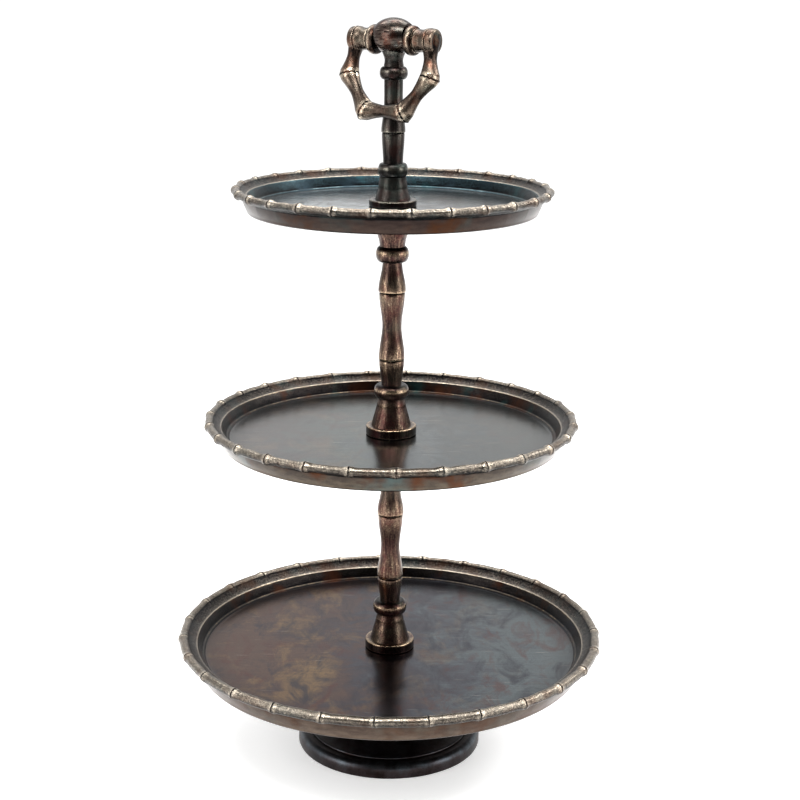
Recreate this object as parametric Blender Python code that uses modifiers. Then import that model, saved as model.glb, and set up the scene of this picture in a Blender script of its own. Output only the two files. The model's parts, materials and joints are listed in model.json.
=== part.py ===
"""Three-tier cake stand of cast metal: a pedestal foot, three round trays with bamboo rims,
bamboo posts between them, and a ring handle that swings on a pin through the ball on top.

Metres, +Z up. The origin is on the stand's axis, on the surface that the foot rests on.
The front of the stand faces -Y.
"""
import math
from dataclasses import dataclass

import bmesh
import bpy
import numpy as np

# ---------------------------------------------------------------- driving dimensions
SEAT_GAP = 0.0003          # play between two pieces that bear on one another
THREAD_GAP = 0.0003        # radial play of a bolt, a stud or the pin in its hole

# Trays
DISH_FLOOR = 0.0045        # thickness of a dish's floor
WALL_THICKNESS = 0.0045    # of a dish's wall, at the floor
WALL_LEAN = 0.0040         # how much wider a wall is at its lip than at its foot
UNDERSIDE_RAMP = 0.0120    # width of the slope from a wall's lower edge to the underside
RIM_NODES = 27             # bamboo nodes around each rim
NODE_SWELL = 0.0006        # how far a node stands out of the cane
TRAY_STEPS = 2 * RIM_NODES  # facets around: every second one carries a node
CANE_ANGLES = (155, 120, 85, 50, 15, -20, -55, -90)  # section of the cane, from the ledge out
RIM_STEP = 0.0012          # from the underside of the cane down to the top of the wall
WALL_ROUNDING = 0.0020     # of a wall's lower edge
FLOOR_FILLET = (0.0015, 0.0018)  # width and height of the slope where the floor meets the wall
LIP_CHAMFER = (0.0006, 0.0010)   # width and height of the broken edge below the ledge's lip


@dataclass
class Tray:
    radius: float          # to the outside of the bamboo rim
    cane: float            # radius of the rim's cane
    rim_height: float      # middle of the cane above the floor
    ledge_width: float     # sloping ledge inside the cane
    lip_drop: float        # the ledge's inner lip below the middle of the cane
    wall_depth: float      # the wall's lower edge below the floor
    node_angle: float      # degrees from the front to the first node


BOTTOM_TRAY = Tray(0.1780, 0.00405, 0.0128, 0.0075, 0.0034, 0.0082, -3.3)
MIDDLE_TRAY = Tray(0.1524, 0.00350, 0.0124, 0.0065, 0.0030, 0.0052, 1.8)
TOP_TRAY = Tray(0.1270, 0.00305, 0.0123, 0.0056, 0.0026, 0.0046, 6.5)

# Pedestal foot
FOOT_RADIUS = 0.0775       # outside of the base ring
RING_HEIGHT = 0.0125       # base ring
RING_ROUNDING = 0.0055     # of the base ring's upper edge
RING_SHOULDER = 0.0665     # where the ring's top meets the flare
FLARE_STEP = 0.0015        # small step up from the ring to the flare
FLARE_HEIGHT = 0.0480      # concave flare, up to the neck
NECK_RADIUS = 0.0280
NECK_HEIGHT = 0.0040
FLANGE_RADIUS = 0.0420
FLANGE_HEIGHT = 0.0131     # from the neck to the top face
FLANGE_EDGE = 0.0070       # the flange's upright edge
FOOT_WALL = 0.0040         # thickness of the hollow foot
FOOT_CEILING = 0.0071      # metal left above the hollow
FOOT_CHAMFER = 0.0012      # of the foot's edges
FOOT_STEPS = 36
FLARE_ANGLES = (0, 18, 36, 54, 72, 90)
ROUNDING_ANGLES = (0, 30, 60, 90)

# Fastenings on the stand's axis
STUD_RADIUS = 0.0040       # eight-millimetre thread
THREAD_DEPTH = 0.0160      # length screwed into each post
HOLE_SPARE = 0.0030        # depth of a hole beyond the thread
STUD_CHAMFER = 0.0008
BORE = STUD_RADIUS + THREAD_GAP          # radius of every hole for the bolt or a stud
HOLE_DEPTH = THREAD_DEPTH + HOLE_SPARE
HEX_FLATS = 0.0130         # bolt head across its flats
HEX_HEIGHT = 0.0053
LOCK_RADIUS = 0.0070       # spring washer
LOCK_THICKNESS = 0.0020
LOCK_SPLIT = 0.0010
WASHER_RADIUS = 0.0120
WASHER_THICKNESS = 0.0016
GASKET_THICKNESS = 0.0010
FOOT_GASKET_RADIUS = 0.0380
POST_GASKET_RADIUS = 0.0145
SMALL_STEPS = 16           # facets around posts and fastenings


# ---------------------------------------------------------------- stretches of a turned outline
@dataclass
class Disc:
    height: float
    radius: float
    edge: float = 0.0008

    def points(self):
        """Upright edge with both corners broken."""
        inner = self.radius - self.edge
        return [(inner, 0.0), (self.radius, self.edge),
                (self.radius, self.height - self.edge), (inner, self.height)]


@dataclass
class Cone:
    height: float
    low: float
    high: float

    def points(self):
        return [(self.low, 0.0), (self.high, self.height)]


@dataclass
class Sweep:
    height: float
    low: float
    high: float
    parts: int = 4

    def points(self):
        """Smooth change of radius that starts and ends upright."""
        shares = [step / self.parts for step in range(self.parts + 1)]
        return [(self.low + (self.high - self.low) * (1 - math.cos(math.pi * share)) / 2,
                 self.height * share) for share in shares]


@dataclass
class Bead:
    height: float
    edge: float
    crown: float
    parts: int = 4

    def points(self):
        """Half-round ring."""
        angles = [math.pi * step / self.parts for step in range(self.parts + 1)]
        return [(self.edge + (self.crown - self.edge) * math.sin(angle),
                 self.height * (1 - math.cos(angle)) / 2) for angle in angles]


# A tier's post, from the tray that it stands on upwards
TIER_POST = [
    Disc(0.0075, 0.0206),
    Cone(0.0165, 0.0164, 0.0118),
    Sweep(0.0065, 0.0118, 0.0105, parts=2),
    Bead(0.0112, 0.0102, 0.0141),
    Sweep(0.0200, 0.0083, 0.0103),
    Cone(0.0016, 0.0097, 0.0097),
    Sweep(0.0270, 0.0107, 0.0080),
    Sweep(0.0270, 0.0080, 0.0105),
    Cone(0.0016, 0.0099, 0.0099),
    Sweep(0.0240, 0.0112, 0.0080),
    Bead(0.0127, 0.0092, 0.0133),
    Sweep(0.0210, 0.0103, 0.0150),
    Disc(0.0050, 0.0158),
]

# The handle's post, from the top tray up to the ball
HANDLE_POST = [
    Disc(0.0050, 0.0190),
    Cone(0.0090, 0.0142, 0.0114),
    Sweep(0.0090, 0.0114, 0.0105, parts=2),
    Bead(0.0106, 0.0090, 0.0118),
    Sweep(0.0230, 0.0079, 0.0090),
    Cone(0.0014, 0.0084, 0.0084),
    Sweep(0.0220, 0.0095, 0.0074),
    Sweep(0.0185, 0.0074, 0.0074, parts=2),
    Bead(0.0100, 0.0074, 0.0110),
    Sweep(0.0045, 0.0078, 0.0072, parts=2),
    Sweep(0.0077, 0.0072, 0.0092, parts=3),
]
BALL_RADIUS = 0.0142
BALL_LENGTH = 0.0376       # along the pin, before the flats are cut
BALL_FLAT = 0.0134         # the flats beside the ring handle, from the ball's middle
PIN_DROP = 0.0030          # the pin lies this far below the ball's middle

# Ring handle, in the hinge's own frame: X along the pin, the ring hanging down along -Z
HANDLE_YAW = -32.0         # degrees: the pin's right-hand end is turned towards the front
BARREL = [
    Bead(0.0066, 0.0096, 0.0116),
    Cone(0.0014, 0.0086, 0.0086),
    Sweep(0.0052, 0.0088, 0.0079, parts=2),
    Sweep(0.0070, 0.0079, 0.0094, parts=3),
    Sweep(0.0050, 0.0094, 0.0056, parts=3),
]
RING_TOP_WIDTH = 0.0334    # middle of a leg's top end, from the hinge's middle
RING_WIDTH = 0.0369        # middle of the side knuckles
RING_SIDE_DROP = 0.0280    # side knuckles below the pin
RING_BAR_WIDTH = 0.0176    # middle of the lower knuckles
RING_DROP = 0.0553         # bottom bar below the pin
CANE_WAIST = 0.0045        # radius of the ring's cane between two knuckles
CANE_KNUCKLE = 0.0067      # radius at a knuckle
CANE_ROOT = 0.0078         # radius where a leg leaves its barrel
PIN_RADIUS = 0.0020
PIN_INSET = 0.0015         # from a barrel's end to the pin's end
BLIND_WALL = 0.0050        # metal left beyond the pin in the right-hand barrel

STAND = bpy.data.collections.new("cake_stand")
CUTTERS = bpy.data.collections.new("cutters")


# ---------------------------------------------------------------- helpers
def stacked(stretches):
    """Outline of the stretches on top of one another, from the bottom up, and its height."""
    outline, base = [], 0.0
    for stretch in stretches:
        for radius, height in stretch.points():
            point = (radius, base + height)
            if not outline or math.dist(point, outline[-1]) > 1e-6:
                outline.append(point)
        base += stretch.height
    return outline, base


def radius_at(outline, height):
    """Radius of an outline that runs from the bottom up, at one height."""
    radii, heights = zip(*outline)
    return float(np.interp(height, heights, radii))


def turned(name, outline, steps, closed=False):
    """Solid turned about Z. The outline runs down the outer side as (radius, height)."""
    edges = [(index, index + 1) for index in range(len(outline) - 1)]
    if closed:
        edges.append((len(outline) - 1, 0))
    mesh = bpy.data.meshes.new(name)
    mesh.from_pydata([(radius, 0.0, height) for radius, height in outline], edges, [])
    piece = bpy.data.objects.new(name, mesh)
    STAND.objects.link(piece)
    screw = piece.modifiers.new("turn", "SCREW")
    screw.steps = screw.render_steps = steps
    screw.use_merge_vertices = True
    screw.merge_threshold = 1e-5
    screw.use_smooth_shade = True
    return piece


def ring(name, outer, inner, thickness):
    """Flat washer, from height 0 up."""
    outline = [(outer, thickness), (outer, 0.0), (inner, 0.0), (inner, thickness)]
    return turned(name, outline, SMALL_STEPS, closed=True)


def as_cutter(piece):
    """Keep a piece out of the build and in sight as wire."""
    if piece.name not in CUTTERS.objects:
        CUTTERS.objects.link(piece)
    if piece.name in STAND.objects:
        STAND.objects.unlink(piece)
    piece.hide_render = True
    piece.display_type = "WIRE"
    return piece


def cylinder(name, radius, length, segments=SMALL_STEPS):
    """Upright cylinder centred on its origin."""
    mesh = bpy.data.meshes.new(name)
    shape = bmesh.new()
    bmesh.ops.create_cone(shape, cap_ends=True, segments=segments,
                          radius1=radius, radius2=radius, depth=length)
    shape.to_mesh(mesh)
    shape.free()
    piece = bpy.data.objects.new(name, mesh)
    STAND.objects.link(piece)
    return piece


def block(name, size):
    """Box centred on its origin."""
    mesh = bpy.data.meshes.new(name)
    shape = bmesh.new()
    bmesh.ops.create_cube(shape, size=1.0)
    bmesh.ops.scale(shape, vec=size, verts=shape.verts)
    shape.to_mesh(mesh)
    shape.free()
    piece = bpy.data.objects.new(name, mesh)
    STAND.objects.link(piece)
    return piece


def combine(piece, other, operation):
    """Cut or join another piece into this one."""
    boolean = piece.modifiers.new(operation.lower(), "BOOLEAN")
    boolean.operation = operation
    boolean.object = as_cutter(other)


def evaluated_mesh(piece):
    """Mesh of a piece with its modifiers applied."""
    bpy.context.view_layer.update()
    depsgraph = bpy.context.evaluated_depsgraph_get()
    return bpy.data.meshes.new_from_object(piece.evaluated_get(depsgraph), depsgraph=depsgraph)


def paint(piece, colour, roughness, metallic):
    """Give a piece its own material."""
    material = bpy.data.materials.new(piece.name)
    material.use_nodes = True
    shader = material.node_tree.nodes["Principled BSDF"]
    shader.inputs["Base Color"].default_value = (*colour, 1.0)
    shader.inputs["Roughness"].default_value = roughness
    shader.inputs["Metallic"].default_value = metallic
    piece.data.materials.clear()
    piece.data.materials.append(material)
    return piece


def dark_casting(piece):
    return paint(piece, (0.060, 0.062, 0.066), 0.38, 1.0)


def rubbed_casting(piece):
    return paint(piece, (0.230, 0.185, 0.145), 0.42, 1.0)


def zinc(piece):
    return paint(piece, (0.550, 0.560, 0.570), 0.35, 1.0)


def fibre(piece):
    return paint(piece, (0.090, 0.040, 0.030), 0.85, 0.0)


# ---------------------------------------------------------------- foot and fastenings
def foot_height():
    return RING_HEIGHT + FLARE_STEP + FLARE_HEIGHT + NECK_HEIGHT + FLANGE_HEIGHT


def flare(radius_growth):
    """Quarter ellipse from the neck down to the ring, moved into the metal by a wall."""
    top = RING_HEIGHT + FLARE_STEP + FLARE_HEIGHT
    across = RING_SHOULDER - NECK_RADIUS + radius_growth
    down = FLARE_HEIGHT + radius_growth
    angles = [math.radians(angle) for angle in FLARE_ANGLES]
    return [(RING_SHOULDER - across * math.cos(angle), top - down * math.sin(angle))
            for angle in angles]


def make_foot():
    """Hollow pedestal: base ring, concave flare, neck and a flange under the bottom tray."""
    top = foot_height()
    middle = (FOOT_RADIUS - RING_ROUNDING, RING_HEIGHT - RING_ROUNDING)
    rounded = [(middle[0] + RING_ROUNDING * math.sin(math.radians(angle)),
                middle[1] + RING_ROUNDING * math.cos(math.radians(angle)))
               for angle in ROUNDING_ANGLES]
    outside = [(BORE, top), (FLANGE_RADIUS - FOOT_CHAMFER, top), (FLANGE_RADIUS, top - FOOT_CHAMFER),
               (FLANGE_RADIUS, top - FLANGE_EDGE),
               (NECK_RADIUS, top - FLANGE_HEIGHT), *flare(0.0),
               (RING_SHOULDER, RING_HEIGHT), *rounded,
               (FOOT_RADIUS, FOOT_CHAMFER), (FOOT_RADIUS - FOOT_CHAMFER, 0.0)]
    hollow = [(RING_SHOULDER, 0.0), *reversed(flare(FOOT_WALL)),
              (NECK_RADIUS - FOOT_WALL, top - FOOT_CEILING), (BORE, top - FOOT_CEILING)]
    return dark_casting(turned("foot", outside + hollow, FOOT_STEPS, closed=True))


def make_foot_bolt(head_top, post_base):
    """Hex bolt from under the foot into the lower post."""
    tip = post_base + THREAD_DEPTH
    shank = [(0.0, tip), (STUD_RADIUS - STUD_CHAMFER, tip), (STUD_RADIUS, tip - STUD_CHAMFER),
             (STUD_RADIUS, head_top - HEX_HEIGHT / 2), (0.0, head_top - HEX_HEIGHT / 2)]
    bolt = turned("foot_bolt", shank, SMALL_STEPS)
    head = cylinder("bolt_head", HEX_FLATS / math.sqrt(3), HEX_HEIGHT, segments=6)
    head.location.z = head_top - HEX_HEIGHT / 2
    combine(bolt, head, "UNION")
    zinc(bolt)


def make_lock_washer(base):
    """Spring washer with its split."""
    washer = ring("foot_lock_washer", LOCK_RADIUS, BORE, LOCK_THICKNESS)
    washer.location.z = base
    split = block("washer_split", (2 * LOCK_RADIUS, LOCK_SPLIT, 2 * LOCK_THICKNESS))
    split.location = (LOCK_RADIUS, 0.0, base + LOCK_THICKNESS / 2)
    combine(washer, split, "DIFFERENCE")
    zinc(washer)


def make_stud(name, floor):
    """Threaded stud through a tray whose floor is at this height, into both posts."""
    tip = floor + SEAT_GAP + THREAD_DEPTH
    end = floor - DISH_FLOOR - GASKET_THICKNESS - 2 * SEAT_GAP - THREAD_DEPTH
    outline = [(0.0, tip), (STUD_RADIUS - STUD_CHAMFER, tip), (STUD_RADIUS, tip - STUD_CHAMFER),
               (STUD_RADIUS, end + STUD_CHAMFER), (STUD_RADIUS - STUD_CHAMFER, end), (0.0, end)]
    zinc(turned(name, outline, SMALL_STEPS))


def make_gasket(name, radius, floor):
    """Fibre washer under the tray whose floor is at this height."""
    gasket = ring(name, radius, BORE, GASKET_THICKNESS)
    gasket.location.z = floor - DISH_FLOOR - SEAT_GAP - GASKET_THICKNESS
    fibre(gasket)


# ---------------------------------------------------------------- trays
def tray_outline(tray):
    """Section of a tray about its floor: cane, outer wall, underside, hole, floor, ledge."""
    middle = tray.radius - tray.cane
    cane = [(middle + tray.cane * math.cos(math.radians(angle)),
             tray.rim_height + tray.cane * math.sin(math.radians(angle)))
            for angle in CANE_ANGLES]
    lip = middle - tray.cane - tray.ledge_width
    wall_foot = lip - WALL_LEAN
    outer_foot = wall_foot + WALL_THICKNESS
    under_rim = tray.rim_height - tray.cane - RIM_STEP
    outer_top = lip + WALL_THICKNESS
    lip_height = tray.rim_height - tray.lip_drop
    outside = [(outer_top, under_rim), (outer_foot, WALL_ROUNDING - tray.wall_depth),
               (outer_foot - WALL_ROUNDING, -tray.wall_depth),
               (outer_foot - UNDERSIDE_RAMP, -DISH_FLOOR), (BORE, -DISH_FLOOR)]
    inside = [(BORE, 0.0), (wall_foot - FLOOR_FILLET[0], 0.0), (wall_foot, FLOOR_FILLET[1]),
              (lip - LIP_CHAMFER[0], lip_height - LIP_CHAMFER[1]), (lip, lip_height)]
    return cane + outside + inside


def swell_nodes(mesh, tray):
    """Push the cane out at each bamboo node, which lies on every second facet edge."""
    middle = tray.radius - tray.cane
    pitch = 2 * math.pi / RIM_NODES
    for vertex in mesh.vertices:
        x, y, z = vertex.co
        across = math.hypot(x, y) - middle
        up = z - tray.rim_height
        distance = math.hypot(across, up)
        turn = math.atan2(y, x) / pitch
        if distance > 1.01 * tray.cane or abs(turn - round(turn)) > 0.1:
            continue
        reach = 1 + NODE_SWELL / distance
        share = (middle + across * reach) / math.hypot(x, y)
        vertex.co = (x * share, y * share, tray.rim_height + up * reach)


def make_tray(name, tray, floor):
    """Tray cast in one piece with its rim, its floor's top at the given height."""
    blank = turned(name + "_blank", tray_outline(tray), TRAY_STEPS, closed=True)
    mesh = evaluated_mesh(blank)
    bpy.data.objects.remove(blank)
    swell_nodes(mesh, tray)
    mesh.shade_smooth()
    mesh.set_sharp_from_angle(angle=math.radians(40))
    piece = bpy.data.objects.new(name, mesh)
    STAND.objects.link(piece)
    piece.location.z = floor
    piece.rotation_euler.z = math.radians(tray.node_angle - 90)
    dark_casting(piece)


# ---------------------------------------------------------------- posts
def post_bottom():
    """Underside of a post with its tapped hole, from the seat's edge to the axis."""
    return [(BORE, 0.0), (BORE, HOLE_DEPTH), (0.0, HOLE_DEPTH)]


def make_tier_post(name, base):
    """Bamboo post with a tapped hole in each end."""
    outline, length = stacked(TIER_POST)
    top = [(0.0, length - HOLE_DEPTH), (BORE, length - HOLE_DEPTH), (BORE, length)]
    post = turned(name, top + outline[::-1] + post_bottom(), SMALL_STEPS)
    post.location.z = base
    rubbed_casting(post)


def ball_centre():
    """Height of the ball's middle above the foot of the handle's post."""
    outline, length = stacked(HANDLE_POST)
    neck = outline[-1][0]
    return length + math.sqrt(BALL_RADIUS ** 2 - neck ** 2)


def make_ball(pivot):
    """Ball drawn out a little along the pin, lying above the pin's axis."""
    mesh = bpy.data.meshes.new("ball")
    shape = bmesh.new()
    bmesh.ops.create_uvsphere(shape, u_segments=2 * SMALL_STEPS, v_segments=SMALL_STEPS,
                              radius=BALL_RADIUS)
    bmesh.ops.scale(shape, vec=(BALL_LENGTH / (2 * BALL_RADIUS), 1.0, 1.0), verts=shape.verts)
    shape.to_mesh(mesh)
    shape.free()
    mesh.shade_smooth()
    ball = bpy.data.objects.new("ball", mesh)
    STAND.objects.link(ball)
    ball.parent = pivot
    ball.location.z = PIN_DROP
    return ball


def make_handle_post(base, pivot):
    """Short bamboo post that ends in a ball, with flats and a hole for the ring's pin."""
    outline, _ = stacked(HANDLE_POST)
    neck_top = (0.0, ball_centre())
    neck = (outline[-1][0], ball_centre())
    post = turned("handle_post", [neck_top, neck] + outline[::-1] + post_bottom(), SMALL_STEPS)
    post.location.z = base
    combine(post, make_ball(pivot), "UNION")
    for side in (-1, 1):
        flat = block("ball_flat", (BALL_LENGTH, 3 * BALL_RADIUS, 3 * BALL_RADIUS))
        flat.parent = pivot
        flat.location.x = side * (BALL_FLAT + BALL_LENGTH / 2)
        combine(post, flat, "DIFFERENCE")
    hole = cylinder("pin_hole", PIN_RADIUS + THREAD_GAP, BALL_LENGTH)
    hole.parent = pivot
    hole.rotation_euler.y = math.radians(90)
    combine(post, hole, "DIFFERENCE")
    dark_casting(post)


# ---------------------------------------------------------------- ring handle
def hanging_tilt():
    """Angle from the vertical at which the bottom bar rests against the post's front."""
    outline, _ = stacked(HANDLE_POST)
    tilt = 0.0
    for _ in range(12):
        level = ball_centre() - PIN_DROP - RING_DROP * math.cos(tilt)
        widest = max(radius_at(outline, level + step * CANE_WAIST / 4) for step in range(-4, 5))
        tilt = math.asin((widest + CANE_WAIST + SEAT_GAP) / RING_DROP)
    return tilt


def cane_loop():
    """Poly curve from one barrel round to the other, thick at the knuckles."""
    corners = [(RING_TOP_WIDTH, 0.0), (RING_WIDTH, -RING_SIDE_DROP), (RING_BAR_WIDTH, -RING_DROP)]
    corners += [(-across, down) for across, down in reversed(corners)]
    profile = [(0.0, 1.0), (0.1, 1.0), (0.3, 0.25), (0.5, 0.0), (0.7, 0.25), (0.9, 1.0)]
    points = []
    for start, end in zip(corners, corners[1:]):
        for share, fullness in profile:
            across = start[0] + (end[0] - start[0]) * share
            down = start[1] + (end[1] - start[1]) * share
            points.append((across, down, CANE_WAIST + (CANE_KNUCKLE - CANE_WAIST) * fullness))
    points.append((*corners[-1], CANE_KNUCKLE))
    for root in (0, 1, -2, -1):
        points[root] = (*points[root][:2], CANE_ROOT)
    curve = bpy.data.curves.new("cane_loop", "CURVE")
    curve.dimensions = "3D"
    curve.bevel_depth = 1.0
    curve.bevel_resolution = 3
    curve.use_fill_caps = True
    spline = curve.splines.new("POLY")
    spline.points.add(len(points) - 1)
    for target, (across, down, radius) in zip(spline.points, points):
        target.co = (across, 0.0, down, 1.0)
        target.radius = radius
    return curve


def barrel_length():
    return stacked(BARREL)[1]


def make_barrel(name, side, pivot):
    """Turned half of the ring's crossbar, from beside the ball outwards."""
    outline, length = stacked(BARREL)
    barrel = turned(name, [(0.0, length)] + outline[::-1] + [(0.0, 0.0)], SMALL_STEPS)
    barrel.parent = pivot
    barrel.location.x = side * (BALL_FLAT + SEAT_GAP)
    barrel.rotation_euler.y = math.radians(side * 90)
    return barrel


def make_ring_handle(pivot):
    """Ring of five canes with a barrel on each side of the ball, bored for the pin."""
    curve = cane_loop()
    loop = bpy.data.objects.new("cane_loop", curve)
    STAND.objects.link(loop)
    mesh = evaluated_mesh(loop)
    bpy.data.objects.remove(loop)
    welded = bmesh.new()
    welded.from_mesh(mesh)
    bmesh.ops.remove_doubles(welded, verts=welded.verts, dist=1e-6)
    welded.to_mesh(mesh)
    welded.free()
    mesh.shade_smooth()
    handle = bpy.data.objects.new("ring_handle", mesh)
    STAND.objects.link(handle)
    handle.parent = pivot
    handle.rotation_euler.x = -hanging_tilt()
    combine(handle, make_barrel("left_barrel", -1, pivot), "UNION")
    combine(handle, make_barrel("right_barrel", 1, pivot), "UNION")
    reach = BALL_FLAT + SEAT_GAP + barrel_length()
    left, right = -reach - PIN_RADIUS, reach - BLIND_WALL
    bore = cylinder("barrel_bore", PIN_RADIUS + THREAD_GAP, right - left)
    bore.parent = pivot
    bore.rotation_euler.y = math.radians(90)
    bore.location.x = (left + right) / 2
    combine(handle, bore, "DIFFERENCE")
    rubbed_casting(handle)


def make_pivot_pin(pivot):
    """Pin from the left-hand barrel through the ball into the right-hand barrel."""
    reach = BALL_FLAT + SEAT_GAP + barrel_length()
    left = PIN_INSET - reach
    right = reach - BLIND_WALL - SEAT_GAP
    pin = cylinder("pivot_pin", PIN_RADIUS, right - left)
    pin.parent = pivot
    pin.rotation_euler.y = math.radians(90)
    pin.location.x = (left + right) / 2
    zinc(pin)


# ---------------------------------------------------------------- the whole stand
def main():
    for leftover in list(bpy.data.objects):
        bpy.data.objects.remove(leftover)
    bpy.context.scene.collection.children.link(STAND)
    bpy.context.scene.collection.children.link(CUTTERS)

    joint = GASKET_THICKNESS + 2 * SEAT_GAP + DISH_FLOOR
    post_length = stacked(TIER_POST)[1]
    bottom_floor = foot_height() + joint
    middle_floor = bottom_floor + SEAT_GAP + post_length + joint
    top_floor = middle_floor + SEAT_GAP + post_length + joint

    make_foot()
    washer = ring("foot_washer", WASHER_RADIUS, BORE, WASHER_THICKNESS)
    washer.location.z = foot_height() - FOOT_CEILING - SEAT_GAP - WASHER_THICKNESS
    zinc(washer)
    lock_base = washer.location.z - SEAT_GAP - LOCK_THICKNESS
    make_lock_washer(lock_base)
    make_foot_bolt(lock_base - SEAT_GAP, bottom_floor + SEAT_GAP)

    make_gasket("foot_gasket", FOOT_GASKET_RADIUS, bottom_floor)
    make_gasket("middle_gasket", POST_GASKET_RADIUS, middle_floor)
    make_gasket("top_gasket", POST_GASKET_RADIUS, top_floor)
    make_stud("middle_stud", middle_floor)
    make_stud("top_stud", top_floor)

    make_tray("bottom_tray", BOTTOM_TRAY, bottom_floor)
    make_tray("middle_tray", MIDDLE_TRAY, middle_floor)
    make_tray("top_tray", TOP_TRAY, top_floor)

    make_tier_post("lower_post", bottom_floor + SEAT_GAP)
    make_tier_post("upper_post", middle_floor + SEAT_GAP)

    pivot = bpy.data.objects.new("handle_pivot", None)
    STAND.objects.link(pivot)
    pivot.location.z = top_floor + SEAT_GAP + ball_centre() - PIN_DROP
    pivot.rotation_euler.z = math.radians(HANDLE_YAW)
    make_handle_post(top_floor + SEAT_GAP, pivot)
    make_ring_handle(pivot)
    make_pivot_pin(pivot)


main()
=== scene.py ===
# Three-tier cake stand of cast aluminium with bamboo rims, bamboo posts and a ring handle.
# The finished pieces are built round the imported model, in metres, front towards -Y.
import json
from math import atan2, cos, exp, hypot, pi, radians, sin, sqrt

import bpy
from mathutils import Matrix, Vector, kdtree, noise


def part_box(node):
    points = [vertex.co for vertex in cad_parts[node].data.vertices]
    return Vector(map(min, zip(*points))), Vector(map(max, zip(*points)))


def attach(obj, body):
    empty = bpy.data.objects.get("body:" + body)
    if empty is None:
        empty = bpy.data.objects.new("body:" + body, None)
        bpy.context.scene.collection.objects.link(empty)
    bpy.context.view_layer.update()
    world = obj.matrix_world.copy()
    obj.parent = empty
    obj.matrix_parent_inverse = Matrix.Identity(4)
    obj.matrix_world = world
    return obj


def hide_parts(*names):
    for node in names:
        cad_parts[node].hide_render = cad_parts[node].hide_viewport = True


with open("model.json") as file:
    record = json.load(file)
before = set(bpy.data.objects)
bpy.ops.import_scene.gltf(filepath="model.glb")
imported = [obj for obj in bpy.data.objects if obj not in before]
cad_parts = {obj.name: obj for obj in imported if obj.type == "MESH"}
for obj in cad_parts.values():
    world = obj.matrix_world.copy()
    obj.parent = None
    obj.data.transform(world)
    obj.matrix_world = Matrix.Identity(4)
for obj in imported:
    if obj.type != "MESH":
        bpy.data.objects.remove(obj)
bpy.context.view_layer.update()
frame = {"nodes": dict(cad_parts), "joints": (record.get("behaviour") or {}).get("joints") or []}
bpy.ops.object.select_all(action="DESELECT")
print("frame loaded:", ", ".join(sorted(frame["nodes"])))

seatGap = 0.0003  # play between two pieces that bear on one another
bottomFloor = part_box("lower_post")[0][2] - seatGap
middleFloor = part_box("upper_post")[0][2] - seatGap
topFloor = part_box("handle_post")[0][2] - seatGap
hinge = frame["joints"][0]
pinMiddle = Vector(hinge["pos_m"])


# small helpers
def toLinear(code):
    # sRGB hex to the linear colour that a shader socket takes
    parts = [int(code[place:place + 2], 16) / 255 for place in (1, 3, 5)]
    return (*[part / 12.92 if part <= 0.04045 else ((part + 0.055) / 1.055) ** 2.4
              for part in parts], 1.0)


def addNode(tree, kind, settings=None, links=None):
    node = tree.nodes.new(kind)
    for key, value in (settings or {}).items():
        if key == "stops":
            ramp = node.color_ramp.elements
            while len(ramp) < len(value):
                ramp.new(1.0)
            for stop, (place, code) in zip(ramp, value):
                stop.position = place
                stop.color = toLinear(code) if isinstance(code, str) else (code, code, code, 1.0)
        elif isinstance(key, int) or key in node.inputs:
            node.inputs[key].default_value = value
        else:
            setattr(node, key, value)
    for key, output in (links or {}).items():
        tree.links.new(output, node.inputs[key])
    return node


def emptyMaterial(name):
    material = bpy.data.materials.new(name)
    material.use_nodes = True
    material.node_tree.nodes.clear()
    return material, material.node_tree


def endMaterial(tree, settings, links):
    shader = addNode(tree, "ShaderNodeBsdfPrincipled", settings, links).outputs[0]
    addNode(tree, "ShaderNodeOutputMaterial", None, {"Surface": shader})


def alone(piece):
    # makes one piece the only one selected, and active
    bpy.ops.object.select_all(action="DESELECT")
    piece.select_set(True)
    bpy.context.view_layer.objects.active = piece


def settle(piece, matrix):
    # puts a piece in its place and leaves its object at the origin
    alone(piece)
    piece.matrix_world = matrix
    bpy.ops.object.transform_apply(location=True, rotation=True, scale=True)


def joinSolid(piece, other):
    # welds another solid into this one
    weld = piece.modifiers.new("weld", "BOOLEAN")
    weld.operation = "UNION"
    weld.solver = "EXACT"
    weld.object = other
    alone(piece)
    bpy.ops.object.modifier_apply(modifier=weld.name)
    bpy.data.objects.remove(other)


def spinSection(name, section, steps):
    # a point is drawn out along the section and the line is spun round the axis
    bpy.ops.object.select_all(action="DESELECT")
    bpy.ops.mesh.primitive_plane_add(size=0.001)
    piece = bpy.context.object
    piece.name = piece.data.name = name
    bpy.ops.object.mode_set(mode="EDIT")
    bpy.ops.mesh.select_all(action="SELECT")
    bpy.ops.mesh.merge(type="CENTER")
    bpy.ops.transform.translate(value=(section[0][0], 0.0, section[0][1]))
    for start, end in zip(section, section[1:]):
        bpy.ops.mesh.extrude_region_move(TRANSFORM_OT_translate={
            "value": (end[0] - start[0], 0.0, end[1] - start[1])})
    bpy.ops.mesh.select_all(action="SELECT")
    bpy.ops.mesh.spin(steps=steps, angle=2 * pi, center=(0, 0, 0), axis=(0, 0, 1))
    bpy.ops.mesh.select_all(action="SELECT")
    bpy.ops.mesh.remove_doubles(threshold=2e-6)
    bpy.ops.mesh.normals_make_consistent(inside=False)
    bpy.ops.object.mode_set(mode="OBJECT")
    markSection(piece, section)
    return piece


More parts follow.
